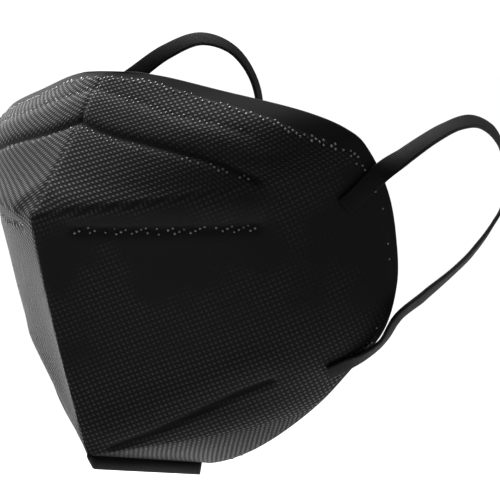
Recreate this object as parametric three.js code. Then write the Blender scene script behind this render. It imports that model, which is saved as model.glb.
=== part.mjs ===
// A fold-flat respirator mask, opened to its worn shape: a hollow shell of two side panels
// folded down the front, a welded strip under the chin, and two flat elastic ear loops.
//
// +X is the wearer's left, +Y runs back to the face and +Z is up. The origin is the middle
// of the face opening, halfway from the nose bridge to the end of the chin seam.
import * as THREE from "three";

// Driving sizes, in millimetres and degrees.
const WALL = 1.4; // the cloth layers of a panel
const EDGE = 1.0; // the same layers fused at the rim
const GAP = 0.3; // kept between separate pieces
const FOLD_LEAN = 17; // the front fold goes back by this angle on its way down to the chin
const FOLD_BOW = 1.3; // the front fold bows forward between nose tip and chin
const SEAT = { back: 52, drop: 20 }; // from the nose tip to the origin
const HANDLE = 0.38; // reach of a section's curve handles, as a share of its chord
const BAND = { width: 6, thick: 1.2, off: 0.36 }; // `off` the panel where it is welded down
const SEAM = { thick: 1.4, depth: 3.6, bevel: 3.2, overhang: 0.6 };

// Corners of the mask's front edge, folded flat: back from the front fold, and up along it.
const FRONT_EDGE = [
  { name: "seam end", back: 45.6, up: -101.8 },
  { name: "chin", back: 0, up: -78.5 },
  { name: "nose tip", back: 0, up: 0 },
  { name: "nose bridge", back: 42.6, up: 32 },
];

// One row for each section across the left panel, from the seam's end to the nose bridge. A
// section starts on the front edge at height `up` and ends on the rim, `out` and `back` from
// the front fold. It leaves the fold at the angle `open` to straight back and reaches the rim
// at the angle `close`. `steps` is how many strips of the wall lie between it and the next row.
const SECTIONS = [
  { name: "seam end", up: -101.8, out: 0, back: 45.6, open: 62, close: 62, steps: 3 },
  { name: "under chin", up: -97.5, out: 17.5, back: 44.6, open: 62, close: 42, steps: 4 },
  { name: "jaw", up: -89.5, out: 34.5, back: 46.0, open: 61, close: 30, steps: 5 },
  { name: "chin corner", up: -78.5, out: 51.0, back: 51.0, open: 58, close: 22, steps: 6 },
  { name: "jaw corner", up: -67.5, out: 63.0, back: 55.9, open: 53, close: 22, steps: 6 },
  { name: "lower ear", up: -56.0, out: 74.0, back: 61.8, open: 50, close: 21, steps: 4 },
  { name: "ear", up: -42.0, out: 79.0, back: 66.4, open: 51, close: 20, steps: 4 },
  { name: "middle", up: -28.0, out: 80.0, back: 68.9, open: 55, close: 20, steps: 5 },
  { name: "upper ear", up: -14.0, out: 80.0, back: 69.2, open: 60, close: 22, steps: 7 },
  { name: "nose tip", up: 0, out: 78.5, back: 66.1, open: 66, close: 24, steps: 5 },
  { name: "cheek", up: 8.0, out: 74.7, back: 62.9, open: 73, close: 26, steps: 5 },
  { name: "cheek top", up: 16.0, out: 63.0, back: 57.0, open: 77, close: 32, steps: 5 },
  { name: "beside nose", up: 24.0, out: 38.0, back: 50.6, open: 82, close: 45, steps: 4 },
  { name: "nose side", up: 29.9, out: 17.5, back: 46.0, open: 85, close: 60, steps: 3 },
  { name: "nose bridge", up: 32, out: 0, back: 42.6, open: 88, close: 88, steps: 0 },
];
const ACROSS = 12; // strips from the front edge to the rim

// Creases and the welded pleat, on the panel laid flat: `path` holds points given as
// [back from the front fold, up]. A crease sinks by `depth` over `reach` to each side, and the
// cloth above it swells by `puff`.
const CREASES = [
  {
    name: "brow crease", depth: 1.2, reach: 3.0, puff: 0.7,
    path: [
      [29, 20.5], [33, 18.8], [37.5, 17.3], [46.5, 15], [53, 13], [61, 9.8], [66, 6.6], [71, 1],
    ],
  },
  { name: "level weld", depth: 1.2, reach: 2.6, puff: 1.4, path: [[13, -5.5], [67, -13]] },
  {
    name: "jaw crease", depth: 1.2, reach: 3.0, puff: 0.7,
    path: [[8, -77], [21, -74], [37, -69], [51, -64.5], [61, -62.5]],
  },
];
const PUFF = { above: 7, reach: 5 }; // where the cloth swells above a crease
const CREASE_END = 5; // a crease fades out over this length

// The ear loops. Their welded ends lie on the panels' outer faces, placed as the panels are
// (u from front edge to rim, v by row). Between them the band hangs free, by rows measured from
// the origin. Untwisted, the band faces out from the panel at its ends and along `face` where it
// hangs free. `turn` twists it from there about its own line, and `slack` stands it further off
// the panel than the weld does.
const LOOP_STEPS = 3; // lengths of band between two rows
const LOOPS = [
  {
    name: "ear_loop_left", side: 1, face: { out: 0.94, back: -0.34 },
    top: [
      { u: 0.87, v: 8.05, turn: 0 }, { u: 0.91, v: 8.2, turn: 0 },
      { u: 0.955, v: 8.38, turn: -12 }, { u: 1, v: 8.56, turn: -30, slack: 0.15 },
    ],
    free: [
      { out: 82, back: 23, up: 38, turn: -56 }, { out: 82, back: 34, up: 42.4, turn: -66 },
      { out: 79, back: 50, up: 46, turn: -70 }, { out: 74, back: 69, up: 47, turn: -52 },
      { out: 68, back: 88, up: 42.5, turn: -36 }, { out: 62, back: 101, up: 36, turn: -40 },
      { out: 58.5, back: 108.5, up: 28, turn: -50 }, { out: 58.5, back: 106.5, up: 19, turn: -52 },
      { out: 62, back: 95, up: 12, turn: -50 }, { out: 67.5, back: 77, up: 5, turn: -45 },
      { out: 74, back: 57, up: 0, turn: -47 }, { out: 79, back: 37, up: -5, turn: -41 },
    ],
    low: [
      { u: 1, v: 5.4, turn: -28, slack: 0.9 }, { u: 0.99, v: 4.95, turn: -28 },
      { u: 0.965, v: 4.65, turn: -14 }, { u: 0.925, v: 4.47, turn: 0 },
      { u: 0.875, v: 4.36, turn: 0 },
    ],
  },
  {
    name: "ear_loop_right", side: -1, face: { out: 0.67, back: 0.74 },
    top: [
      { u: 0.87, v: 8.05, turn: 0 }, { u: 0.91, v: 8.2, turn: 0 }, { u: 0.955, v: 8.38, turn: 0 },
      { u: 1, v: 8.56, turn: 0, slack: 0.3 },
    ],
    free: [
      { out: 79, back: 26, up: 41, turn: -20 }, { out: 73, back: 41, up: 50, turn: -12 },
      { out: 64, back: 54, up: 60, turn: 4 }, { out: 55, back: 63, up: 69, turn: 28 },
      { out: 45, back: 70, up: 73.5, turn: 46 }, { out: 36, back: 76, up: 70, turn: 62 },
      { out: 31, back: 81, up: 61, turn: 70 }, { out: 31, back: 85, up: 49, turn: 72 },
      { out: 36, back: 85, up: 37, turn: 68 }, { out: 43, back: 80, up: 26, turn: 62 },
      { out: 51, back: 72, up: 15, turn: 56 }, { out: 60, back: 62, up: 6, turn: 50 },
      { out: 68, back: 51, up: -1, turn: 44 }, { out: 76, back: 38, up: -7, turn: 36 },
    ],
    low: [
      { u: 1, v: 5.4, turn: 24, slack: 0.9 }, { u: 0.99, v: 4.95, turn: 16 },
      { u: 0.965, v: 4.65, turn: 8 }, { u: 0.925, v: 4.47, turn: 0 },
      { u: 0.875, v: 4.36, turn: 0 },
    ],
  },
];

const radians = THREE.MathUtils.degToRad;
const lean = radians(FOLD_LEAN);

/** A point of the panel's own axes in the object's frame. */
function place(out, back, up) {
  return new THREE.Vector3(
    out,
    back * Math.cos(lean) - up * Math.sin(lean) - SEAT.back,
    back * Math.sin(lean) + up * Math.cos(lean) + SEAT.drop,
  );
}

/** The front edge's distance back at a height, on the panel laid flat. */
function frontEdgeBack(up) {
  const [seamEnd, chin, noseTip, bridge] = FRONT_EDGE;
  const share = (from, to) => THREE.MathUtils.clamp((up - from.up) / (to.up - from.up), 0, 1);
  const below = THREE.MathUtils.lerp(seamEnd.back, chin.back, share(seamEnd, chin));
  const above = THREE.MathUtils.lerp(noseTip.back, bridge.back, share(noseTip, bridge));
  return below + above - FOLD_BOW * Math.sin(Math.PI * share(chin, noseTip));
}

/** A section's measures at row number v, smooth between the rows and across the two ends. */
function sectionAt(v) {
  const last = SECTIONS.length - 1;
  const mirrored = (row) => ({ ...row, out: -row.out });
  const row = (i) => {
    if (i < 0) return mirrored(SECTIONS[-i]);
    return i > last ? mirrored(SECTIONS[2 * last - i]) : SECTIONS[i];
  };
  const i = Math.min(Math.floor(v), last - 1);
  const t = v - i;
  const column = (key) => {
    const [a, b, c, d] = [row(i - 1)[key], row(i)[key], row(i + 1)[key], row(i + 2)[key]];
    const bend = (2 * a - 5 * b + 4 * c - d) * t + (3 * b - a - 3 * c + d) * t * t;
    return b + (t * (c - a + bend)) / 2;
  };
  return {
    up: column("up"), out: column("out"), back: column("back"),
    open: radians(column("open")), close: radians(column("close")),
  };
}

/** The panel's smooth outer surface: u from 0 on the front edge to 1 on the rim, v by row. */
function panelPoint(u, v, side) {
  const { up, out, back, open, close } = sectionAt(v);
  const start = frontEdgeBack(up);
  const handle = HANDLE * Math.hypot(out, back - start);
  const bezier = (p0, p1, p2, p3) =>
    (1 - u) ** 3 * p0 + 3 * u * (1 - u) ** 2 * p1 + 3 * u * u * (1 - u) * p2 + u ** 3 * p3;
  const across = bezier(0, handle * Math.sin(open), out - handle * Math.sin(close), out);
  const along = bezier(
    start, start + handle * Math.cos(open), back - handle * Math.cos(close), back,
  );
  return place(side * across, along, up);
}

/** The outward normal of the smooth surface. */
function panelNormal(u, v, side) {
  const step = 0.01;
  const last = SECTIONS.length - 1;
  const inside = THREE.MathUtils.clamp(v, 10 * step, last - 10 * step);
  const acrossStep = panelPoint(u + step, inside, side).sub(panelPoint(u - step, inside, side));
  const upStep = panelPoint(u, inside + step, side).sub(panelPoint(u, inside - step, side));
  return acrossStep.cross(upStep).multiplyScalar(side).normalize();
}

/** How far a flat point lies from a crease, how far above it, and how near its ends. */
function creaseDistance(path, back, up) {
  let nearest = { distance: Infinity, above: 0, pastEnd: 0 };
  for (let i = 0; i + 1 < path.length; i++) {
    const [x0, y0] = path[i];
    const [dx, dy] = [path[i + 1][0] - x0, path[i + 1][1] - y0];
    const length = Math.hypot(dx, dy);
    const run = ((back - x0) * dx + (up - y0) * dy) / length;
    const held = THREE.MathUtils.clamp(run, 0, length);
    const distance = Math.hypot(back - x0 - (held * dx) / length, up - y0 - (held * dy) / length);
    if (distance < nearest.distance) {
      const above = ((up - y0) * dx - (back - x0) * dy) / length;
      nearest = { distance, above, pastEnd: Math.abs(run - held) };
    }
  }
  return nearest;
}

/** How far the creases move the cloth out (or in, below zero) at a flat point. */
function relief(back, up) {
  const bell = (x, width) => Math.exp(-((x / width) ** 2));
  let move = 0;
  for (const { path, depth, reach, puff } of CREASES) {
    const { distance, above, pastEnd } = creaseDistance(path, back, up);
    move -= depth * bell(distance, reach);
    move += puff * bell(above - PUFF.above, PUFF.reach) * bell(pastEnd, CREASE_END);
  }
  return move;
}

/** Closed mesh geometry from a list of points and a list of triangles of their indices. */
function meshGeometry(points, triangles) {
  const geometry = new THREE.BufferGeometry().setFromPoints(points);
  geometry.setIndex(triangles.flat());
  geometry.computeVertexNormals();
  return geometry;
}

/** The rows of the wall's grid, as row numbers v with the sections' steps between them. */
function wallRows() {
  const rows = [];
  SECTIONS.forEach(({ steps }, i) => {
    for (let k = 0; k < steps; k++) rows.push(i + k / steps);
  });
  return rows.concat(SECTIONS.length - 1);
}

/** The hollow shell: both panels with their creases, a skin outside, one inside, and the rim. */
function facepieceGeometry() {
  const rows = wallRows();
  const [outer, inner] = [[], []];
  const add = (point, normal, thickness) => {
    outer.push(point);
    inner.push(point.clone().addScaledVector(normal, -thickness));
    return outer.length - 1;
  };
  // On the front edge the two panels meet, so the wall is offset within the symmetry plane.
  const addOnFrontEdge = (v, thickness) => {
    const normal = panelNormal(0.02, v, 1);
    const offset = Math.hypot(normal.y, normal.z);
    normal.setX(0).divideScalar(offset);
    return add(panelPoint(0, v, 1), normal, thickness / offset);
  };
  const addSide = (v, side) => {
    const indices = [];
    let back = frontEdgeBack(sectionAt(v).up);
    let before = panelPoint(0, v, side);
    for (let j = 1; j <= ACROSS; j++) {
      const u = j / ACROSS;
      const point = panelPoint(u, v, side);
      back += point.distanceTo(before);
      before = point.clone();
      const normal = panelNormal(u, v, side);
      const onRim = j === ACROSS;
      if (!onRim) point.addScaledVector(normal, relief(back, sectionAt(v).up));
      indices.push(add(point, normal, onRim ? EDGE : WALL));
    }
    return indices;
  };
  const grid = rows.map((v, i) => {
    if (i === 0 || i === rows.length - 1) return [addOnFrontEdge(v, EDGE)];
    return [...addSide(v, -1).reverse(), addOnFrontEdge(v, WALL), ...addSide(v, 1)];
  });

  const faces = [];
  for (let i = 0; i + 1 < grid.length; i++) {
    const [low, high] = [grid[i], grid[i + 1]];
    const width = Math.max(low.length, high.length) - 1;
    const at = (row, j) => row[Math.min(j, row.length - 1)];
    for (let j = 0; j < width; j++) {
      const corners = [at(low, j), at(low, j + 1), at(high, j + 1), at(high, j)];
      for (const [a, b, c] of [[0, 1, 2], [0, 2, 3]]) {
        const triangle = [corners[a], corners[b], corners[c]];
        if (new Set(triangle).size === 3) faces.push(triangle);
      }
    }
  }
  const count = outer.length;
  const skinInside = faces.map(([a, b, c]) => [a + count, c + count, b + count]);
  const full = grid.slice(1, -1);
  const rimLeft = full.map((row) => row.at(-1));
  const rimRight = full.map((row) => row[0]).reverse();
  const rim = [grid[0][0], ...rimLeft, grid.at(-1)[0], ...rimRight];
  const rimFaces = rim.flatMap((a, i) => {
    const b = rim[(i + 1) % rim.length];
    return [[b, a, a + count], [b, a + count, b + count]];
  });
  return meshGeometry([...outer, ...inner], [...faces, ...skinInside, ...rimFaces]);
}

/** The flat welded strip that stands down from the chin seam, square at its rear end. */
function chinSeamGeometry() {
  const [seamEnd, chin] = FRONT_EDGE.map(({ back, up }) => place(0, back, up));
  const along = seamEnd.clone().sub(chin).normalize();
  const down = new THREE.Vector3(0, along.z, -along.y);
  const corner = (from, run, drop) => {
    const point = from.clone().addScaledVector(along, run).addScaledVector(down, drop);
    return new THREE.Vector2(point.y, point.z);
  };
  const outline = new THREE.Shape([
    corner(chin, 0, GAP),
    corner(chin, SEAM.bevel, GAP + SEAM.depth),
    corner(seamEnd, SEAM.overhang, GAP + SEAM.depth),
    corner(seamEnd, SEAM.overhang, GAP),
  ]);
  const geometry = new THREE.ExtrudeGeometry(outline, { depth: SEAM.thick, bevelEnabled: false });
  // The outline's own axes become the object's Y and Z, and the strip is centred on X.
  geometry.translate(0, 0, -SEAM.thick / 2);
  geometry.applyMatrix4(new THREE.Matrix4().set(0, 0, 1, 0, 1, 0, 0, 0, 0, 1, 0, 0, 0, 0, 0, 1));
  return geometry;
}

/** A row of a loop's route that lies on the panel, as far out as the band's turn needs. */
function landing(side, { u, v, turn, slack = 0 }) {
  const tilt = radians(Math.abs(turn));
  const reach = (BAND.thick / 2) * Math.cos(tilt) + (BAND.width / 2) * Math.sin(tilt);
  const lift = BAND.off + slack + reach;
  const normal = panelNormal(u, v, side);
  return { point: panelPoint(u, v, side).addScaledVector(normal, lift), normal, turn };
}

/** A row of a loop's route through the air, beside the wearer's ear. */
function span(side, face, { out, back, up, turn }) {
  const normal = new THREE.Vector3(side * face.out, face.back, 0).normalize();
  return { point: new THREE.Vector3(side * out, back, up), normal, turn };
}

/** A flat elastic band from its upper weld, round behind the ear, to its lower weld. */
function earLoopGeometry({ side, face: aim, top, free, low }) {
  const route = [
    ...top.map((row) => landing(side, row)),
    ...free.map((row) => span(side, aim, row)),
    ...low.map((row) => landing(side, row)),
  ];
  const curve = new THREE.CatmullRomCurve3(route.map(({ point }) => point), false, "centripetal");
  const count = (route.length - 1) * LOOP_STEPS;
  const points = [];
  for (let k = 0; k <= count; k++) {
    const at = k / LOOP_STEPS;
    const row = Math.min(Math.floor(at), route.length - 2);
    const [from, to] = [route[row], route[row + 1]];
    const share = at - row;
    const centre = curve.getPoint(k / count);
    const tangent = curve.getTangent(k / count);
    const face = from.normal.clone().lerp(to.normal, share);
    const turn = radians(THREE.MathUtils.lerp(from.turn, to.turn, share));
    const width = tangent.clone().cross(face).normalize().applyAxisAngle(tangent, side * turn);
    const thick = tangent.clone().cross(width);
    for (const [w, t] of [[-1, -1], [1, -1], [1, 1], [-1, 1]]) {
      points.push(
        centre.clone()
          .addScaledVector(width, (w * BAND.width) / 2)
          .addScaledVector(thick, (t * BAND.thick) / 2),
      );
    }
  }
  const faces = [];
  for (let k = 0; k < count; k++) {
    for (let j = 0; j < 4; j++) {
      const [a, b] = [4 * k + j, 4 * k + ((j + 1) % 4)];
      faces.push([a, b, b + 4], [a, b + 4, a + 4]);
    }
  }
  const end = 4 * count;
  faces.push([0, 2, 1], [0, 3, 2], [end, end + 1, end + 2], [end, end + 2, end + 3]);
  return meshGeometry(points, faces);
}

const cloth = new THREE.MeshStandardMaterial({ color: 0x1b1b1d, roughness: 0.85, metalness: 0 });
const elastic = new THREE.MeshStandardMaterial({ color: 0x141415, roughness: 0.9, metalness: 0 });

const mask = new THREE.Group();
const pieces = [
  ["facepiece", facepieceGeometry(), cloth],
  ["chin_seam", chinSeamGeometry(), cloth],
  ...LOOPS.map((loop) => [loop.name, earLoopGeometry(loop), elastic]),
];
for (const [name, geometry, material] of pieces) {
  const mesh = new THREE.Mesh(geometry, material);
  mesh.name = name;
  mask.add(mesh);
}
export default mask;
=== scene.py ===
"""A black fold-flat respirator mask, opened as worn and held up over a pale floor.

Lengths are in millimetres until a mesh is made. +X is the wearer's left, +Y runs back to
the face and +Z is up, with the origin in the middle of the face opening.
"""
from math import cos, pi, radians, sin

import bpy
import numpy as np
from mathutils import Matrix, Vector


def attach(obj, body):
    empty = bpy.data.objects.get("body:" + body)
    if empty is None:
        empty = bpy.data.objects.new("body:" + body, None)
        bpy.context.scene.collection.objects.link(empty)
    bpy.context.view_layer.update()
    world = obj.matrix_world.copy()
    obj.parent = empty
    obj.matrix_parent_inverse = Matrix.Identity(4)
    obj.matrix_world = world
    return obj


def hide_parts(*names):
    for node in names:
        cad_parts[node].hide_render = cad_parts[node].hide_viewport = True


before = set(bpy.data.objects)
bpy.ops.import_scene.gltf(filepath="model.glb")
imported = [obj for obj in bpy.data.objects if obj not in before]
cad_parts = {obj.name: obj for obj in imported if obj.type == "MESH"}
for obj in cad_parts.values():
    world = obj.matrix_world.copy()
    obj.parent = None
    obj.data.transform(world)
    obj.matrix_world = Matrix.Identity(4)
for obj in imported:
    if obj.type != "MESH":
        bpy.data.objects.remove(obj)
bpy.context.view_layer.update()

MM = 0.001  # metres in a millimetre

# ---------------------------------------------------------------- the panels' shape
WALL = 1.4  # the cloth layers of a panel
EDGE = 1.0  # the same layers fused at the rim
FOLD_LEAN = radians(17)  # the front fold goes back by this angle on its way down to the chin
FOLD_BOW = 1.3  # the front fold bows forward between nose tip and chin
SEAT = {"back": 52, "drop": 20}  # from the nose tip to the origin
HANDLE = 0.38  # reach of a section's curve handles, as a share of its chord

# Corners of the mask's front edge, folded flat: (back from the front fold, up along it).
FRONT_EDGE = {
    "seam end": (45.6, -101.8),
    "chin": (0, -78.5),
    "nose tip": (0, 0),
    "nose bridge": (42.6, 32),
}

# Sections across a panel: height up the front edge, how far out and back the rim is, and
# the angles at which the section leaves the fold and reaches the rim.
SECTIONS = {
    "seam end": (-101.8, 0, 45.6, 62, 62),
    "under chin": (-97.5, 17.5, 44.6, 62, 42),
    "jaw": (-89.5, 34.5, 46.0, 61, 30),
    "chin corner": (-78.5, 51.0, 51.0, 58, 22),
    "jaw corner": (-67.5, 63.0, 55.9, 53, 22),
    "lower ear": (-56.0, 74.0, 61.8, 50, 21),
    "ear": (-42.0, 79.0, 66.4, 51, 20),
    "middle": (-28.0, 80.0, 68.9, 55, 20),
    "upper ear": (-14.0, 80.0, 69.2, 60, 22),
    "nose tip": (0, 78.5, 66.1, 66, 24),
    "cheek": (8.0, 74.7, 62.9, 73, 26),
    "cheek top": (16.0, 63.0, 57.0, 77, 32),
    "beside nose": (24.0, 38.0, 50.6, 82, 45),
    "nose side": (29.9, 17.5, 46.0, 85, 60),
    "nose bridge": (32, 0, 42.6, 88, 88),
}
LAST_ROW = len(SECTIONS) - 1
CROWN = (LAST_ROW - 1.0, LAST_ROW - 0.4)  # the rows over which the rims close at the bridge
# Under this height the cloth behind the front edge rounds the chin's corner, over this reach.
CHIN_ROUND = {"below": -60, "reach": 7}
CHIN_SAMPLES = (-1, -0.6, -0.2, 0.2, 0.6, 1)  # where the edge is averaged, in shares of the reach

# The grid of a panel.
PANEL_ROWS = 190  # strips from the seam's end to the nose bridge
PANEL_COLUMNS = 112  # strips from the front edge to the rim
EVEN_ALONG = 0.55  # the rows are evenly spaced along this line of the panel, 0 fold to 1 rim
COLUMN_EASE = 1.12  # above 1 the columns crowd towards the front edge
NEAR_FOLD = 0.02  # a line just beside the front edge, in the same measure
FOLD_SWING = 2.2  # from the fold to where the cloth takes the panel's own direction
SECTION_STEPS = 240  # a section's length is measured over this many straight steps
ROW_SAMPLES = 1500  # and a line up the panel at this many points

# ---------------------------------------------------------------- creases and welds
# On a panel laid flat: points of a line as (back from the front fold, up).
BROW_CREASE = [
    (28.5, 20.7), (33, 18.8), (37.5, 17.3), (46.5, 15), (53, 13), (61, 9.8), (66, 6.6), (71, 1),
]
LEVEL_WELD = [(13, -5.5), (67, -13)]
JAW_CREASE = [(8, -77), (21, -74), (37, -69), (51, -64.5), (61, -62.5)]
CHANNEL_WELD = [(37.5, 28.2), (49, 24.8), (59.6, 20.3), (70.3, 17.3), (78, 13.6)]


def section_at(v):
    """Rows of the table at row numbers v, smooth between the sections and across both ends."""
    rows = np.array(list(SECTIONS.values()), float)
    across = np.array([1, -1, 1, 1, 1])
    rows = np.vstack([rows[1] * across, rows, rows[-2] * across])
    i = np.clip(np.floor(v).astype(int), 0, LAST_ROW - 1)
    t = (v - i)[..., None]
    a, b, c, d = (rows[i + k] for k in range(4))
    bend = (2 * a - 5 * b + 4 * c - d) * t + (3 * b - a - 3 * c + d) * t * t
    return np.moveaxis(b + t * (c - a + bend) / 2, -1, 0)


def front_edge_back(up):
    """The front edge's distance back at a height, on the panel laid flat."""
    corners = np.array(list(FRONT_EDGE.values()))
    chin, nose_tip = corners[1, 1], corners[2, 1]
    share = np.clip((up - chin) / (nose_tip - chin), 0, 1)
    return np.interp(up, corners[:, 1], corners[:, 0]) - FOLD_BOW * np.sin(pi * share)


def soft_front_edge(up):
    """The front edge as the cloth behind it takes it, with the chin's corner rounded."""
    full = CHIN_ROUND["reach"]
    reach = full * np.clip((up - FRONT_EDGE["seam end"][1]) / (2 * full), 0, 1)
    around = [front_edge_back(up + share * reach) for share in CHIN_SAMPLES]
    return np.where(up < CHIN_ROUND["below"], np.mean(around, axis=0), front_edge_back(up))


def place(out, back, up):
    """Points of the panel's own axes in the object's frame."""
    y = back * cos(FOLD_LEAN) - up * sin(FOLD_LEAN) - SEAT["back"]
    z = back * sin(FOLD_LEAN) + up * cos(FOLD_LEAN) + SEAT["drop"]
    return np.stack([out, y, z], -1)


def panel_point(u, v, side):
    """The smooth outer surface: u from 0 on the front edge to 1 on the rim, v by row."""
    u, v = np.broadcast_arrays(np.asarray(u, float), np.asarray(v, float))
    up, out, back, leave, arrive = section_at(v)
    start, soft = front_edge_back(up), soft_front_edge(up)
    handle = HANDLE * np.hypot(out, back - soft)
    leave, arrive = np.radians(leave), np.radians(arrive)
    weights = [(1 - u) ** 3, 3 * u * (1 - u) ** 2, 3 * u * u * (1 - u), u**3]
    across = [0, handle * np.sin(leave), out - handle * np.sin(arrive), out]
    along = [start, soft + handle * np.cos(leave), back - handle * np.cos(arrive), back]
    return place(
        side * sum(w * p for w, p in zip(weights, across)),
        sum(w * p for w, p in zip(weights, along)),
        up,
    )


def unit(vectors):
    """The vectors at length one."""
    return vectors / np.linalg.norm(vectors, axis=-1, keepdims=True)


def line_run(points):
    """The length of a line of points up to each of them."""
    return np.r_[0, np.cumsum(np.linalg.norm(np.diff(points, axis=0), axis=1))]


def panel_normal(u, v, side):
    """The outward normal of the smooth surface."""
    step, margin = 0.01, 0.06  # the rows at both ends close to a point, so they are left out
    v = np.clip(v, margin, LAST_ROW - margin)
    across = panel_point(u + step, v, side) - panel_point(u - step, v, side)
    upward = panel_point(u, v + step, side) - panel_point(u, v - step, side)
    return side * unit(np.cross(across, upward))


def section_runs(v, steps):
    """Points along the sections at rows v: their u, and how far over the cloth each lies."""
    u = np.linspace(0, 1, steps + 1)
    points = panel_point(u[None], v[:, None], 1)
    lengths = np.linalg.norm(np.diff(points, axis=1), axis=-1)
    return u, np.hstack([np.zeros((len(v), 1)), np.cumsum(lengths, axis=1)])


def flat_back(u, v):
    """Distance back from the front fold, on the panel laid flat, of points in one grid."""
    fine, runs = section_runs(v[:, 0], SECTION_STEPS)
    rows = [np.interp(row, fine, run) for row, run in zip(u, runs)]
    return np.array(rows) + front_edge_back(section_at(v)[0])


def measure_from(path, back, up):
    """From a flat line: distance, height above it and distance past its ends."""
    best = None
    for (x0, y0), (x1, y1) in zip(path, path[1:]):
        length = np.hypot(x1 - x0, y1 - y0)
        dx, dy = (x1 - x0) / length, (y1 - y0) / length
        run = (back - x0) * dx + (up - y0) * dy
        held = np.clip(run, 0, length)
        distance = np.hypot(back - x0 - held * dx, up - y0 - held * dy)
        above = (up - y0) * dx - (back - x0) * dy
        rows = np.stack([distance, above, np.abs(run - held)])
        best = rows if best is None else np.where(distance < best[0], rows, best)
    return best


def bell(x, width):
    """1 at 0, falling away to both sides."""
    return np.exp(-((x / width) ** 2))


def smooth(x, low, high):
    """A soft step from 0 at low to 1 at high."""
    t = np.clip((x - low) / (high - low), 0, 1)
    return t * t * (3 - 2 * t)


# Each crease: its line, the wide dent and its reach to each side, the narrow line pressed in
# it, and how much the cloth above it swells.
CREASES = [
    {"path": BROW_CREASE, "dent": 0.9, "reach": 1.6, "line": 0.5, "puff": 0.7},
    {"path": LEVEL_WELD, "dent": 1.0, "reach": 2.0, "line": 0.5, "puff": 1.4},
    {"path": JAW_CREASE, "dent": 0.8, "reach": 1.3, "line": 0.5, "puff": 0.7},
    {"path": CHANNEL_WELD, "dent": 0.25, "reach": 1.8, "line": 0.15, "puff": 0},
]
LINE_REACH = 0.8  # of a narrow line to each side
SMOOTH_LINES = [BROW_CREASE, LEVEL_WELD, JAW_CREASE]
SMOOTH_REACH = 0.8  # the cloth is pressed smooth this far to each side of those, and loses its dots' paler colour, partly painted shade in the crease
PUFF = {"above": 7, "reach": 5, "end": 5}  # where the cloth swells, and its fade past a line
FOLD_ROUND = {"cut": 0.35, "reach": 1.0}  # what the front fold's rounding takes off
# On the left panel, from the one pair of heights to the other, the dots are flattened and their
# paler colour taken out: painted shade over the panel's middle.
FLAT_SHADE_HEIGHTS = {"low": (-58, -38), "high": (-3.5, 0.5)}
BAND_DROP = 0.35  # the fused rim band lies this much below the cloth inside it


def relief(back, up, from_fold, band):
    """How far the cloth is moved out of (or, below zero, into) the smooth surface."""
    move = -FOLD_ROUND["cut"] * bell(from_fold, FOLD_ROUND["reach"]) * (1 - band)
    move -= BAND_DROP * band
    for crease in CREASES:
        distance, above, past_end = measure_from(crease["path"], back, up)
        move -= crease["dent"] * bell(distance, crease["reach"])
        move -= crease["line"] * bell(distance, LINE_REACH)
        swell = bell(above - PUFF["above"], PUFF["reach"]) * bell(past_end, PUFF["end"])
        move += crease["puff"] * swell
    return move


def in_crease(back, up):
    """1 along the narrow lines of the creases, where the cloth is pressed smooth and its darker,
    dotless colour is partly painted crease shade.
    """
    distances = [measure_from(path, back, up)[0] for path in SMOOTH_LINES]
    return bell(np.minimum.reduce(distances), SMOOTH_REACH)


# ---------------------------------------------------------------- the rim
# How far inside the rim the welded dots run, by section row number from the chin up.
BAND_ROWS = [0, 2, 4, 6, 8, 9, 10, 11, 12, 13, 14]
BAND_WIDTHS = [1.6, 1.6, 1.8, 3.2, 3.6, 4.4, 6.5, 8.0, 5.5, 3.4, 2.4]
BAND_EASE = {"outer": 0.9, "inner": 0.3}  # how far its inner edge fades to both sides
RIM_SAMPLES = 700  # points along one side's rim
BATCH = 2000  # points measured at a time


def rim_distance(points):
    """Each point's distance to the rim of its own side, and the rim band's width there."""
    rim_v = np.linspace(0, LAST_ROW, RIM_SAMPLES)
    rim = panel_point(1.0, rim_v, 1)
    flat = points.reshape(-1, 3).copy()
    flat[:, 0] = np.abs(flat[:, 0])
    nearest, where = np.empty(len(flat)), np.empty(len(flat))
    for start in range(0, len(flat), BATCH):
        part = slice(start, start + BATCH)
        gaps = np.linalg.norm(flat[part, None] - rim, axis=-1)
        nearest[part], where[part] = gaps.min(1), rim_v[gaps.argmin(1)]
    width = np.interp(where, BAND_ROWS, BAND_WIDTHS)
    return nearest.reshape(points.shape[:-1]), width.reshape(points.shape[:-1])


def in_band(gap, width):
    """1 on the fused band along the rim and 0 on the cloth inside it."""
    return 1 - smooth(gap, width - BAND_EASE["outer"], width + BAND_EASE["inner"])


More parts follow.
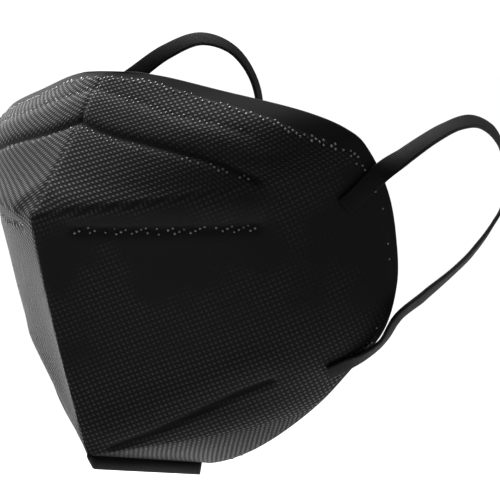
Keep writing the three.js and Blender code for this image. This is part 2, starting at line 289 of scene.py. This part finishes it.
def panel_grid(side):
    """The grid of one panel: positions, normals, flat coordinates, where it is fused, and where its
    dots are flattened as painted shade.
    """
    fine = np.linspace(0, LAST_ROW, ROW_SAMPLES)
    run = line_run(panel_point(EVEN_ALONG, fine, 1))
    v = np.interp(np.linspace(0, run[-1], PANEL_ROWS + 1), run, fine)[:, None]
    u = np.linspace(0, 1, PANEL_COLUMNS + 1)[None] ** COLUMN_EASE
    u, v = np.broadcast_arrays(u, v)
    points = panel_point(u, v, side)
    normals = panel_normal(u, v, side)
    back, up = flat_back(u, v), section_at(v)[0]
    from_fold = back - front_edge_back(up)
    band = in_band(*rim_distance(points))
    # The two rims meet at the bridge, where the cloth keeps the fold's own direction.
    crown = smooth(v, *CROWN)[..., None]
    beside_fold = panel_normal(np.full_like(u, NEAR_FOLD), v, side)
    normals = unit(normals * (1 - crown) + beside_fold * crown)
    # Over the fold the cloth turns round, so its normal swings through the symmetry plane.
    level = unit(normals[:, :1] * [0, 1, 1])
    swing = smooth(from_fold, 0, FOLD_SWING)[..., None]
    normals = unit(normals * swing + level * (1 - swing))
    points = points + normals * relief(back, up, from_fold, band)[..., None]
    return {
        "points": points, "normals": normals, "back": back, "up": up, "band": band,
        # The fused band along the rim, and the crease lines, whose darker dotless colour is partly
        # painted shade.
        "fused": np.maximum(band, in_crease(back, up)),
        # Where the left panel's dots are flattened and lose their paler colour: painted shade.
        "flat_shade": smooth(up, *FLAT_SHADE_HEIGHTS["low"]) * (1 - smooth(up, *FLAT_SHADE_HEIGHTS["high"])) * (side > 0),
    }


# ---------------------------------------------------------------- meshes
def new_object(name, points, faces, scale=MM):
    """A smooth-shaded object of the scene, from points in millimetres and their faces."""
    mesh = bpy.data.meshes.new(name)
    mesh.from_pydata(np.asarray(points) * scale, [], [list(map(int, f)) for f in faces])
    mesh.validate()
    mesh.update()
    piece = bpy.data.objects.new(name, mesh)
    bpy.context.scene.collection.objects.link(piece)
    mesh.shade_smooth()
    return piece


def give_uv(mesh, uv):
    """A UV map from one (u, v) for each vertex."""
    loops = np.empty(len(mesh.loops), int)
    mesh.loops.foreach_get("vertex_index", loops)
    layer = mesh.uv_layers.new(name="cloth")
    layer.data.foreach_set("uv", np.asarray(uv, np.float32)[loops].ravel())


def give_value(mesh, name, values):
    """A named number for each vertex, for the materials to read."""
    layer = mesh.attributes.new(name, "FLOAT", "POINT")
    layer.data.foreach_set("value", np.asarray(values, np.float32))


def join(low, high):
    """Faces between two closed rings of indices."""
    follow = low[1:] + low[:1], high[1:] + high[:1]
    return [list(corners) for corners in zip(low, follow[0], follow[1], high)]


def number_rings(first, per, count):
    """Rings of indices that follow one another, from the first index on."""
    return [list(range(first + k * per, first + (k + 1) * per)) for k in range(count)]


def tube(per, count):
    """Faces of a tube through rings of points, closed at its two ends."""
    rings = number_rings(0, per, count)
    faces = [face for low, high in zip(rings, rings[1:]) for face in join(low, high)]
    return faces + [rings[0][::-1], rings[-1]]


# ---------------------------------------------------------------- the lattice of dots
PITCH = 1.5  # between the embossed dots
LATTICE_TURN = radians(12)  # the dots' rows climb towards the ear
LATTICE_SPAN = {"across": (-10, 120), "climb": (-90, 130)}  # its cells, to cover a panel
LATTICE_BACK = (-70, 130)  # and the flat distances back that they are kept between
CLIMB_GRID = {"margin": 0.3, "rows": 160, "columns": 61}  # the panel's heights are measured on
CLIMB_AT = np.linspace(0.15, 0.85, 15)  # where, in shares of what two rows have in common


def cloth_lengths():
    """How far up the cloth each flat height lies, measured over the shaped panel."""
    ends = CLIMB_GRID["margin"], LAST_ROW - CLIMB_GRID["margin"]
    v = np.linspace(*ends, CLIMB_GRID["rows"])[:, None]
    u, v = np.broadcast_arrays(np.linspace(0, 1, CLIMB_GRID["columns"])[None], v)
    points, back = panel_point(u, v, 1), flat_back(u, v)
    climbs = [0.0]
    for i in range(len(v) - 1):
        near, far = back[i : i + 2].min(1).max(), back[i : i + 2].max(1).min()
        at = near + CLIMB_AT * (far - near)
        rows = [
            np.stack([np.interp(at, back[k], points[k, :, axis]) for axis in range(3)], -1)
            for k in (i, i + 1)
        ]
        climbs.append(np.median(np.linalg.norm(rows[1] - rows[0], axis=1)))
    return section_at(v[:, 0])[0], np.cumsum(climbs)


FLAT_UP, CLOTH_UP = cloth_lengths()


def lattice_place(back, up):
    """Where flat positions lie in the lattice of dots, whose nodes are at half numbers."""
    climb = np.interp(up, FLAT_UP, CLOTH_UP)
    c, s = cos(LATTICE_TURN), sin(LATTICE_TURN)
    return np.stack([c * back + s * climb, c * climb - s * back], -1) / PITCH


def lattice_nodes():
    """Flat positions of the embossed dots' centres over a whole panel."""
    cells = np.meshgrid(*(np.arange(*span) + 0.5 for span in LATTICE_SPAN.values()))
    across, climb = (a.ravel() for a in cells)
    c, s = cos(LATTICE_TURN), sin(LATTICE_TURN)
    back = (c * across - s * climb) * PITCH
    climb = (s * across + c * climb) * PITCH
    on_cloth = (climb > CLOTH_UP[0]) & (climb < CLOTH_UP[-1])
    on_cloth &= (back > LATTICE_BACK[0]) & (back < LATTICE_BACK[1])
    return back[on_cloth], np.interp(climb[on_cloth], CLOTH_UP, FLAT_UP)


# ---------------------------------------------------------------- the facepiece
RIM_ARC = [radians(a) for a in (36, 72, 108, 144)]  # round the cut edge, outside to inside
RIM_BULGE = 0.8  # how far the cut edge stands out, as a share of half its thickness


def number_points(rows, columns):
    """A vertex index for each place of the shell's grid, and the places that have their own.

    The first and the last row are single points on the front edge.
    """
    centre = columns // 2
    index = np.zeros((rows, columns), int)
    index[1:-1] = 1 + np.arange((rows - 2) * columns).reshape(rows - 2, columns)
    index[-1] = 1 + (rows - 2) * columns
    inner = [(i, j) for i in range(1, rows - 1) for j in range(columns)]
    return index, tuple(np.array([(0, centre), *inner, (rows - 1, centre)]).T)


def skin_faces(index):
    """The outer skin's faces, which narrow to triangles at the two end points."""
    faces = []
    for low, high in zip(index, index[1:]):
        for j in range(len(low) - 1):
            corners = list(dict.fromkeys([low[j], low[j + 1], high[j + 1], high[j]]))
            if len(corners) > 2:
                faces.append(corners)
    return faces


def edge_rings(outer, inner):
    """Rings of points that round the cut edge, from the outer skin's rim to the inner's."""
    ahead = np.roll(outer, -1, 0) - np.roll(outer, 1, 0)
    normal = unit(outer - inner)
    outward = unit(np.cross(ahead, normal))
    middle = (outer + inner) / 2
    half = np.linalg.norm(outer - inner, axis=1)[:, None] / 2
    return [middle + half * (normal * cos(a) + RIM_BULGE * outward * sin(a)) for a in RIM_ARC]


def make_facepiece():
    """The hollow shell: both panels, a skin outside, one inside, and the rounded rim."""
    left, right = panel_grid(1), panel_grid(-1)
    # Columns run from the right rim, over the fold, to the left rim.
    fields = {key: np.concatenate([right[key][:, :0:-1], left[key]], axis=1) for key in left}
    thickness = WALL + (EDGE - WALL) * fields["band"]
    fields["inner"] = fields["points"] - fields["normals"] * thickness[..., None]
    fields["lattice"] = lattice_place(fields["back"], fields["up"])
    index, pick = number_points(*fields["band"].shape)
    outer, inner = fields["points"][pick], fields["inner"][pick]
    count = len(outer)
    skin = skin_faces(index)
    lining = [[c + count for c in reversed(face)] for face in skin]

    # Once round the rim, from the seam's end up the left side and down the right.
    loop = [index[0, 0], *index[1:-1, -1], index[-1, 0], *index[-2:0:-1, 0]]
    edge = edge_rings(outer[loop], inner[loop])
    rings = number_rings(2 * count, len(loop), len(edge))
    rings = [loop, *rings, [i + count for i in loop]]
    rim = [face for high, low in zip(rings, rings[1:]) for face in join(low, high)]

    piece = new_object("facepiece_cloth", np.vstack([outer, inner, *edge]), skin + lining + rim)
    lattice = fields["lattice"][pick]
    give_uv(piece.data, np.vstack([lattice, lattice] + [lattice[loop]] * len(edge)))
    for name, at_edge in (("fused", 1.0), ("flat_shade", 0.0)):
        value = fields[name][pick]
        at_edge = np.full(len(loop) * len(edge), at_edge)
        give_value(piece.data, name, np.concatenate([value, value, at_edge]))
    return piece


# ---------------------------------------------------------------- welded dots
WELD_DOT = {"radius": 0.46, "height": 0.26, "sunk": 0.12}  # "sunk" is its foot, in the cloth
DOT_SIZES = (0.8, 1.1)  # the smallest and the largest, as shares of that radius
DOT_SIDES = 8  # of a dot's outline
DOT_RINGS = [(0.86, 0.55), (0.5, 0.92)]  # shares of a dot's radius and height, going up it
SEEDS = {1: 7, -1: 8}  # for which dots show, by side
# The dots along the rim's band: how near they lie to its inner edge, how far from the rim they
# stay, the heights they fade between, and the shares of them that show there.
EDGE_WELD = {"reach": 1.0, "margin": 1.2, "heights": (-30, -2), "shown": (0.05, 0.72)}
# The other welds: line, how far above it its dots lie, and the share of them that shows.
WELD_LINES = [(BROW_CREASE, -1.6, 0.35), (LEVEL_WELD, -0.7, 0.85), (CHANNEL_WELD, 0, 0.4)]
WELD_REACH = 0.95  # lattice dots this near a weld line are pressed into it
WELD_END = 0.5  # and this far past its ends


def panel_place(back, up, side):
    """The creased cloth at flat positions: points, normals, rim distances, what is on it."""
    rows = np.linspace(0, LAST_ROW, 2 * ROW_SAMPLES)
    v = np.interp(up, section_at(rows)[0], rows)
    fine, runs = section_runs(v, SECTION_STEPS // 2)
    from_fold = back - front_edge_back(up)
    u = np.array([np.interp(at, run, fine) for at, run in zip(from_fold, runs)])
    on_panel = (from_fold > 0) & (from_fold < runs[:, -1])
    points, normals = panel_point(u, v, side), panel_normal(u, v, side)
    gap, width = rim_distance(points)
    points = points + normals * relief(back, up, from_fold, in_band(gap, width))[..., None]
    return points, normals, gap, width, on_panel


def domes(points, normals, radius):
    """Low round caps standing on the cloth: vertices and faces of all of them."""
    # Two directions across each normal, by way of one that doesn't lie along it.
    helper = np.where(np.abs(normals[:, 2:]) < 0.8, [[0, 0, 1.0]], [[1.0, 0, 0]])
    side = unit(np.cross(helper, normals))
    other = np.cross(normals, side)
    turns = np.linspace(0, 2 * pi, DOT_SIDES, endpoint=False)
    height = WELD_DOT["height"]
    levels = [(1, -WELD_DOT["sunk"]), *((share, height * rise) for share, rise in DOT_RINGS)]
    vertices = [
        points + radius[:, None] * share * (side * cos(a) + other * sin(a)) + normals * level
        for share, level in levels
        for a in turns
    ]
    vertices = np.stack([*vertices, points + normals * height], 1)
    faces = []
    for base in range(0, vertices.shape[0] * vertices.shape[1], vertices.shape[1]):
        rings = number_rings(base, DOT_SIDES, len(levels))
        for low, high in zip(rings, rings[1:]):
            faces += join(low, high)
        tip = rings[-1][-1] + 1
        faces += [[a, b, tip] for a, b in zip(rings[-1], rings[-1][1:] + rings[-1][:1])]
        faces.append(rings[0][::-1])
    return vertices.reshape(-1, 3), faces


def make_weld_dots(side):
    """The embossed dots that lie in the welds, melted glossy and painted paler, partly a painted
    highlight; they come and go along a line.
    """
    back, up = lattice_nodes()
    points, normals, gap, width, on_panel = panel_place(back, up, side)
    chance = np.random.default_rng(SEEDS[side]).random(len(back))
    least, most = EDGE_WELD["shown"]
    shown = least + (most - least) * smooth(up, *EDGE_WELD["heights"])
    in_weld = (np.abs(gap - width) < EDGE_WELD["reach"]) & (chance < shown)
    for path, above, shown in WELD_LINES:
        _, height, past_end = measure_from(path, back, up)
        near = (np.abs(height - above) < WELD_REACH) & (past_end < WELD_END)
        in_weld |= near & (chance < shown)
    keep = in_weld & on_panel & (gap > EDGE_WELD["margin"])
    smallest, largest = DOT_SIZES
    radius = WELD_DOT["radius"] * (smallest + (largest - smallest) * chance[keep])
    name = "weld_dots_left" if side > 0 else "weld_dots_right"
    return new_object(name, *domes(points[keep], normals[keep], radius))


# ---------------------------------------------------------------- chin strip
SEAM = {"thick": 1.5, "depth": 3.6, "bevel": 3.2, "overhang": 0.6, "tuck": 0.9, "gap": 0.3}
SEAM_LEAST = 0.02  # its depth at the chin, where the bevel starts, as a share of the full one
SEAM_STEPS = 69  # strips along it
# Down the rounded lower edge: share of the half thickness, and height above the lowest line.
SEAM_EDGE = [(1, 0.5), (0.62, 0.12), (0, 0)]
SEAM_END = {"share": 0.55, "reach": 0.5}  # how thin it is at its two ends, and over what length
SEAM_WAVE = {"out": 0.0625, "turn": 0.09, "start": 0.6}  # its sway, for each millimetre down


def make_chin_strip():
    """The flat welded strip that stands down from the chin seam, square at its rear end."""
    seam_end, chin = (place(0, *corner) for corner in list(FRONT_EDGE.values())[:2])
    along = unit(seam_end - chin)
    down = np.array([0, along[2], -along[1]])
    length = np.linalg.norm(seam_end - chin) + SEAM["overhang"]
    points = []
    for run in np.linspace(0, length, SEAM_STEPS + 1):
        low = SEAM["gap"] + SEAM["depth"] * np.clip(run / SEAM["bevel"], SEAM_LEAST, 1)
        to_end = min(1, min(run, length - run) / SEAM_END["reach"])
        half = SEAM["thick"] / 2 * (SEAM_END["share"] + (1 - SEAM_END["share"]) * to_end)
        section = [(-half, -SEAM["tuck"])]
        section += [(-half * share, low - above) for share, above in SEAM_EDGE]
        section += [(-x, y) for x, y in section[-2::-1]]
        sway = SEAM_WAVE["out"] * sin(run * SEAM_WAVE["turn"] + SEAM_WAVE["start"])
        for x, y in section:
            points.append(chin + along * run + down * y + np.array([x + sway * y, 0, 0]))
    per, count = len(section), SEAM_STEPS + 1
    piece = new_object("chin_strip", points, tube(per, count))
    uv = [(k // per * length / count, k % per) for k in range(len(points))]
    give_uv(piece.data, np.array(uv) / PITCH)
    return piece


# ---------------------------------------------------------------- ear loops
BAND = {"width": 6.0, "thick": 1.2, "off": 0.36}  # "off" the panel where it is welded down
BAND_CORNER = 0.45  # radius of its rounded edges
CORNER_TURNS = (0, 45, 90)  # points round a corner, in degrees
BAND_STEP = 0.9  # between two sections of the band
BAND_BACK = 9  # the band's other face lies this far along in its UV map
ROUTE_SAMPLES = 1600  # points that a loop's length is measured at

# Each loop's route: welded rows (u, v, turn, slack), and free rows (out, back, up, turn).
# "face" is which way the untwisted band faces on its free run: out and back.
LOOPS = {
    "left": {
        "side": 1, "face": (0.94, -0.34),
        "top": [
            (0.87, 8.05, 0, 0), (0.91, 8.2, 0, 0), (0.955, 8.38, -12, 0), (1, 8.56, -30, 0.15),
        ],
        "free": [
            (82, 23, 38, -56), (82, 34, 42.4, -66), (79, 50, 46, -70), (74, 69, 47, -52),
            (68, 88, 42.5, -36), (62, 101, 36, -40), (58.5, 108.5, 28, -50),
            (58.5, 106.5, 19, -52), (62, 95, 12, -50), (67.5, 77, 5, -45), (74, 57, 0, -47),
            (79, 37, -5, -41),
        ],
        "low": [
            (1, 5.4, -28, 0.9), (0.99, 4.95, -28, 0), (0.965, 4.65, -14, 0), (0.925, 4.47, 0, 0),
            (0.875, 4.36, 0, 0),
        ],
    },
    "right": {
        "side": -1, "face": (0.67, 0.74),
        "top": [
            (0.87, 8.05, 0, 0), (0.91, 8.2, 0, 0), (0.955, 8.38, 0, 0), (1, 8.56, 0, 0.3),
        ],
        "free": [
            (79, 26, 41, -20), (73, 41, 50, -12), (64, 54, 60, 4), (55, 63, 69, 28),
            (45, 70, 73.5, 46), (36, 76, 70, 62), (31, 81, 61, 70), (31, 85, 49, 72),
            (36, 85, 37, 68), (43, 80, 26, 62), (51, 72, 15, 56), (60, 62, 6, 50),
            (68, 51, -1, 44), (76, 38, -7, 36),
        ],
        "low": [
            (1, 5.4, 24, 0.9), (0.99, 4.95, 16, 0), (0.965, 4.65, 8, 0), (0.925, 4.47, 0, 0),
            (0.875, 4.36, 0, 0),
        ],
    },
}


def landing(side, u, v, turn, slack):
    """A row of a loop's route on the panel: the band's middle, its face, turn and lift."""
    tilt = radians(abs(turn))
    reach = BAND["thick"] / 2 * cos(tilt) + BAND["width"] / 2 * sin(tilt)
    normal = panel_normal(np.array(u, float), np.array(v, float), side)
    point = panel_point(u, v, side) + normal * (BAND["off"] + slack + reach)
    return point, normal, turn


def span(side, face, out, back, up, turn):
    """A row of a loop's route through the air, beside the wearer's ear."""
    normal = unit(np.array([side * face[0], face[1], 0]))
    return np.array([side * out, back, up], float), normal, turn


def centripetal(points, at):
    """The centripetal Catmull-Rom curve through points, at fractional row numbers."""
    before = 2 * points[0] - points[1]
    after = 2 * points[-1] - points[-2]
    held = np.vstack([before, points, after])
    spans = np.linalg.norm(np.diff(held, axis=0), axis=1) ** 0.5
    result = []
    for t in at:
        i = min(int(t), len(points) - 2)
        p0, p1, p2, p3 = held[i : i + 4]
        d0, d1, d2 = spans[i : i + 3]
        m1 = ((p1 - p0) / d0 - (p2 - p0) / (d0 + d1) + (p2 - p1) / d1) * d1
        m2 = ((p2 - p1) / d1 - (p3 - p1) / (d1 + d2) + (p3 - p2) / d2) * d1
        w = t - i
        result.append(
            (2 * w**3 - 3 * w**2 + 1) * p1 + (w**3 - 2 * w**2 + w) * m1
            + (-2 * w**3 + 3 * w**2) * p2 + (w**3 - w**2) * m2
        )
    return np.array(result)


def band_section():
    """The band's outline: flat faces and rounded edges, as (along width, along thickness)."""
    outline = []
    for sx, sy, start in [(1, 1, 0), (-1, 1, 90), (-1, -1, 180), (1, -1, 270)]:
        x = sx * (BAND["width"] / 2 - BAND_CORNER)
        y = sy * (BAND["thick"] / 2 - BAND_CORNER)
        for turn in CORNER_TURNS:
            angle = radians(start + turn)
            outline.append((x + BAND_CORNER * cos(angle), y + BAND_CORNER * sin(angle)))
    return outline


def make_ear_loop(name, side, face, top, free, low):
    """A flat elastic band from its upper weld, round behind the ear, to its lower weld."""
    route = [landing(side, *row) for row in top]
    route += [span(side, face, *row) for row in free]
    route += [landing(side, *row) for row in low]
    knots, normals, turns = (np.array(column) for column in zip(*route))
    fine = np.linspace(0, len(knots) - 1, ROUTE_SAMPLES)
    run = line_run(centripetal(knots, fine))
    along = np.linspace(0, run[-1], int(run[-1] / BAND_STEP) + 1)
    at = np.interp(along, run, fine)
    centres = centripetal(knots, at)
    tangents = unit(np.gradient(centres, axis=0))

    # The band's directions across its width and through its thickness.
    row = np.clip(at.astype(int), 0, len(knots) - 2)
    share = (at - row)[:, None]
    facing = normals[row] * (1 - share) + normals[row + 1] * share
    turns = np.radians(turns)[:, None]
    turn = side * (turns[row] * (1 - share) + turns[row + 1] * share)
    across = unit(np.cross(tangents, facing))
    across = across * np.cos(turn) + np.cross(tangents, across) * np.sin(turn)
    through = np.cross(tangents, across)
    outline = band_section()
    points = [
        centre + w * x + t * y for centre, w, t in zip(centres, across, through) for x, y in outline
    ]
    piece = new_object(name, points, tube(len(outline), len(centres)))
    give_uv(piece.data, [(s, x + (0 if y > 0 else BAND_BACK)) for s in along for x, y in outline])
    return piece


# ---------------------------------------------------------------- materials
class Shader:
    """A material built of nodes around one Principled BSDF."""

    def __init__(self, name, **constants):
        """Constants go straight on the shader's sockets, with _ for a space."""
        self.material = bpy.data.materials.new(name)
        self.material.use_nodes = True
        tree = self.material.node_tree
        self.nodes, self.links = tree.nodes, tree.links
        self.surface = self.nodes["Principled BSDF"]
        for socket, value in constants.items():
            self.surface.inputs[socket.replace("_", " ")].default_value = value

    def put(self, value, socket):
        """Link a socket's value, or set a constant."""
        if isinstance(value, bpy.types.NodeSocket):
            self.links.new(value, socket)
        else:
            socket.default_value = value

    def node(self, kind, inputs=(), **settings):
        """A node with its inputs filled in and its settings made."""
        node = self.nodes.new(kind)
        for key, value in settings.items():
            setattr(node, key, value)
        for socket, value in dict(inputs).items():
            self.put(value, node.inputs[socket])
        return node

    def math(self, operation, a, b=0.0, c=0.0):
        """Arithmetic on numbers."""
        inputs = {0: a, 1: b, 2: c}
        return self.node("ShaderNodeMath", inputs, operation=operation).outputs[0]

    def vector(self, operation, a, b=(0, 0, 0)):
        """Arithmetic on vectors, or a vector's length."""
        node = self.node("ShaderNodeVectorMath", {0: a, 1: b}, operation=operation)
        return node.outputs["Value" if operation == "LENGTH" else "Vector"]

    def ramp(self, value, low, high, to_low=0.0, to_high=1.0):
        """A smooth step from one value to another."""
        inputs = {"Value": value, "From Min": low, "From Max": high}
        inputs.update({"To Min": to_low, "To Max": to_high})
        node = self.node("ShaderNodeMapRange", inputs, interpolation_type="SMOOTHSTEP")
        return node.outputs["Result"]

    def uv(self):
        """The piece's own UV map."""
        return self.node("ShaderNodeUVMap", uv_map="cloth").outputs["UV"]

    def value(self, name):
        """A named number of the mesh's vertices."""
        return self.node("ShaderNodeAttribute", attribute_name=name).outputs["Fac"]

    def noise(self, scale, detail):
        """Noise in the object's own space, with this many waves to a metre."""
        place = self.node("ShaderNodeTexCoord").outputs["Object"]
        inputs = {"Vector": place, "Scale": scale, "Detail": detail}
        return self.node("ShaderNodeTexNoise", inputs).outputs["Fac"]

    def mix(self, share, a, b):
        """A colour between two."""
        node = self.node("ShaderNodeMix", data_type="RGBA")
        for socket, value in zip((node.inputs[0], node.inputs[6], node.inputs[7]), (share, a, b)):
            self.put(value, socket)
        return node.outputs[2]

    def bump(self, height, distance):
        """The normal of a relief that is this many metres high where its height is 1."""
        inputs = {"Height": height, "Distance": distance, "Strength": 1}
        return self.node("ShaderNodeBump", inputs).outputs["Normal"]

    def finish(self, colour, roughness, normal=None):
        """The finished material, with what is given on its shader."""
        for value, socket in ((colour, "Base Color"), (roughness, "Roughness"), (normal, "Normal")):
            if value is not None:
                self.put(value, self.surface.inputs[socket])
        return self.material


def grey(value, blue=1.05):
    """A grey, a little blue unless told otherwise."""
    return (value, value, value * blue, 1)


NOISE_RANGE = (0.3, 0.7)  # what noise mostly keeps between
DOT = {"edge": 0.44, "top": 0.14}  # radii where an embossed dot starts and where it is full
DOT_ROUGHNESS = {"between": 0.9, "on": 0.52}
WANDER = {"scale": 0.7, "reach": 0.22}  # how the lattice wanders, in its own cells
FIBRES = {"scale": 2600, "height": 0.12}  # their height beside a dot's
CLOTH_BUMP, FILM_BUMP, BAND_BUMP = 0.00016, 0.00004, 0.00007  # in metres


def panel_cloth():
    """Black spun-bonded cloth embossed with a square lattice of raised dots."""
    shader = Shader("panel_cloth", IOR=1.19)
    uv, fused = shader.uv(), shader.value("fused")
    wander = {"Vector": uv, "Scale": WANDER["scale"], "Detail": 1}
    wander = shader.node("ShaderNodeTexNoise", wander).outputs["Color"]
    wander = shader.vector("SUBTRACT", wander, (0.5, 0.5, 0.5))
    wander = shader.vector("MULTIPLY", wander, (WANDER["reach"],) * 3)
    cell = shader.vector("FRACTION", shader.vector("ADD", uv, wander))
    cell = shader.vector("SUBTRACT", cell, (0.5, 0.5, 0.5))
    cell = shader.vector("MULTIPLY", cell, (1, 1, 0))
    dot = shader.ramp(shader.vector("LENGTH", cell), DOT["edge"], DOT["top"])
    # Where the cloth is fused, and in patches over the left panel's flat-shade zone, the dots are
    # flattened away; their paler colour goes with them, which over that zone is painted shade and
    # along the crease lines partly painted shade.
    patches = shader.ramp(shader.noise(42, 4), 0.38, 0.6, 0.3, 0.95)
    flat_shade_patches = shader.math("MULTIPLY", shader.value("flat_shade"), patches)
    dot = shader.math(
        "MULTIPLY", dot, shader.math("SUBTRACT", 1, shader.math("MAXIMUM", fused, flat_shade_patches))
    )
    # The dots' tops are painted paler, partly their own colour and partly a painted highlight of
    # their sheen; how much paler varies at random over the panel.
    uneven_paleness = shader.ramp(shader.noise(38, 3), 0.35, 0.65, 0.75, 1)
    colour = shader.mix(shader.math("MULTIPLY", dot, uneven_paleness), grey(0.0012), grey(0.0035))
    roughness = shader.ramp(dot, 0, 1, DOT_ROUGHNESS["between"], DOT_ROUGHNESS["on"])
    fibres = shader.noise(FIBRES["scale"], 3)
    height = shader.math("MULTIPLY_ADD", fibres, FIBRES["height"], dot)
    return shader.finish(colour, roughness, shader.bump(height, CLOTH_BUMP))


def weld_film():
    """Cloth melted into clear black film at the weld dots."""
    shader = Shader("weld_film", IOR=1.4)
    cloudy = shader.ramp(shader.noise(160, 2), *NOISE_RANGE)
    roughness = shader.ramp(shader.noise(900, 2), *NOISE_RANGE, 0.25, 0.4)
    # The film's paler grey is partly its own colour and partly a painted highlight of its gloss,
    # varying at random.
    return shader.finish(shader.mix(cloudy, grey(0.012), grey(0.04)), roughness)


def fused_cloth():
    """The same cloth pressed flat and smooth by the weld."""
    shader = Shader("fused_cloth", IOR=1.17)
    cloudy = shader.ramp(shader.noise(120, 3), *NOISE_RANGE)
    colour = shader.mix(cloudy, grey(0.001), grey(0.0022))
    height = shader.noise(1500, 3)
    roughness = shader.ramp(height, *NOISE_RANGE, 0.5, 0.62)
    return shader.finish(colour, roughness, shader.bump(height, FILM_BUMP))


RIB = {"pitch": 0.62, "height": 0.65}  # along the band, in millimetres and as a share
STITCH = {"pitch": 0.7, "height": 0.35, "lean": 1.6}  # across the ribs, leaning with them
BAND_ROUGHNESS = 0.72


def elastic_band():
    """Fine flat knitted elastic, ribbed along its length."""
    shader = Shader("elastic_band", IOR=1.13)
    parts = shader.node("ShaderNodeSeparateXYZ", {"Vector": shader.uv()})
    along, across = parts.outputs["X"], parts.outputs["Y"]
    rib = shader.math("SINE", shader.math("MULTIPLY", across, 2 * pi / RIB["pitch"]))
    along = shader.math("MULTIPLY", along, 2 * pi / STITCH["pitch"])
    lean = shader.math("ABSOLUTE", rib)
    stitch = shader.math("SINE", shader.math("MULTIPLY_ADD", lean, STITCH["lean"], along))
    ribs = shader.math("MULTIPLY", rib, RIB["height"])
    height = shader.math("MULTIPLY_ADD", stitch, STITCH["height"], ribs)
    # The knit is coloured darker in its grooves and paler on the tops of its ribs and stitches:
    # painted shade.
    colour = shader.mix(shader.ramp(height, -1, 1), grey(0.0005), grey(0.002))
    return shader.finish(colour, BAND_ROUGHNESS, shader.bump(height, BAND_BUMP))


# ---------------------------------------------------------------- stage, light and camera
# The camera: its direction from the target, and the width it takes in there.
VIEW = {
    "azimuth": 42, "elevation": 5, "distance": 700, "target": (23.2, 19.9, 6.8), "width": 157.2,
}
SENSOR = 36
FLOOR = {"drop": 260, "reach": 30, "grey": 0.93}  # how far under the origin; half its side in m
WORLD = {"around": 1.16, "mirrored": 0.1}  # strengths of the white all round
# Name, azimuth and elevation seen from the mask, distance and size in metres, watts.
LIGHTS = [
    ("above", -100, 61, 0.5, 0.45, 12),
    ("left", -100, 12, 1.0, 0.9, 18),
    ("behind", 170, 30, 1.1, 0.7, 4),
]


def view_direction(azimuth, elevation):
    """From the object towards a camera."""
    a, e = radians(azimuth), radians(elevation)
    return Vector((sin(a) * cos(e), -cos(a) * cos(e), sin(e)))


def make_camera():
    """The scene's camera, level, looking at the target from the view's direction."""
    data = bpy.data.cameras.new("camera")
    data.sensor_width = SENSOR
    data.lens = SENSOR * VIEW["distance"] / VIEW["width"]
    data.clip_start, data.clip_end = 0.01, 100
    camera = bpy.data.objects.new("camera", data)
    back = view_direction(VIEW["azimuth"], VIEW["elevation"])
    camera.location = (Vector(VIEW["target"]) + back * VIEW["distance"]) * MM
    camera.rotation_euler = back.to_track_quat("Z", "Y").to_euler()
    bpy.context.scene.collection.objects.link(camera)
    bpy.context.scene.camera = camera


def make_light(name, azimuth, elevation, distance, size, watts):
    """A square soft light aimed at the mask, metres away in a direction seen from it."""
    data = bpy.data.lights.new(name, "AREA")
    data.shape = "SQUARE"
    data.size = size
    data.energy = watts
    light = bpy.data.objects.new(name, data)
    back = view_direction(azimuth, elevation)
    light.location = back * distance
    light.rotation_euler = back.to_track_quat("Z", "Y").to_euler()
    bpy.context.scene.collection.objects.link(light)


def make_stage():
    """A plain pale floor that reaches as far as the eye."""
    reach, z = FLOOR["reach"], -FLOOR["drop"] * MM
    corners = [(-reach, -reach, z), (reach, -reach, z), (reach, reach, z), (-reach, reach, z)]
    floor = new_object("floor", corners, [[0, 1, 2, 3]], 1)
    shader = Shader("floor_paper", Specular_IOR_Level=0.1)
    floor.data.materials.append(shader.finish(grey(FLOOR["grey"], 1), 0.9))


def make_world():
    """White all round, but dim where the mask would mirror it."""
    world = bpy.data.worlds.new("studio")
    world.use_nodes = True
    bpy.context.scene.world = world
    nodes, links = world.node_tree.nodes, world.node_tree.links
    around, mirrored = nodes["Background"], nodes.new("ShaderNodeBackground")
    for background, strength in ((around, WORLD["around"]), (mirrored, WORLD["mirrored"])):
        background.inputs["Color"].default_value = (1, 1, 1, 1)
        background.inputs["Strength"].default_value = strength
    path, mix = nodes.new("ShaderNodeLightPath"), nodes.new("ShaderNodeMixShader")
    links.new(path.outputs["Is Glossy Ray"], mix.inputs[0])
    links.new(around.outputs[0], mix.inputs[1])
    links.new(mirrored.outputs[0], mix.inputs[2])
    links.new(mix.outputs[0], nodes["World Output"].inputs["Surface"])


# ---------------------------------------------------------------- the scene
def make_mask():
    """All the mask's pieces, each with its material and its place in the frame."""
    facepiece = make_facepiece()
    dots = [make_weld_dots(side) for side in (1, -1)]
    strip = make_chin_strip()
    loops = {name: make_ear_loop(f"ear_band_{name}", **loop) for name, loop in LOOPS.items()}
    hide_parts("facepiece")
    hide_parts("chin_seam")
    for name, piece in loops.items():
        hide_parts(f"ear_loop_{name}")
    finishes = [
        ([facepiece], panel_cloth(), "panel_cloth"),
        (dots, weld_film(), "fused_cloth"),
        ([strip], fused_cloth(), "fused_cloth"),
        (loops.values(), elastic_band(), "elastic_band"),
    ]
    for pieces, material, slot in finishes:
        for piece in pieces:
            piece.data.materials.append(material)
            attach(piece, "root")


def main():
    bpy.context.scene.view_settings.view_transform = "Standard"
    make_camera()
    make_stage()
    make_world()
    for light in LIGHTS:
        make_light(*light)
    make_mask()


main()
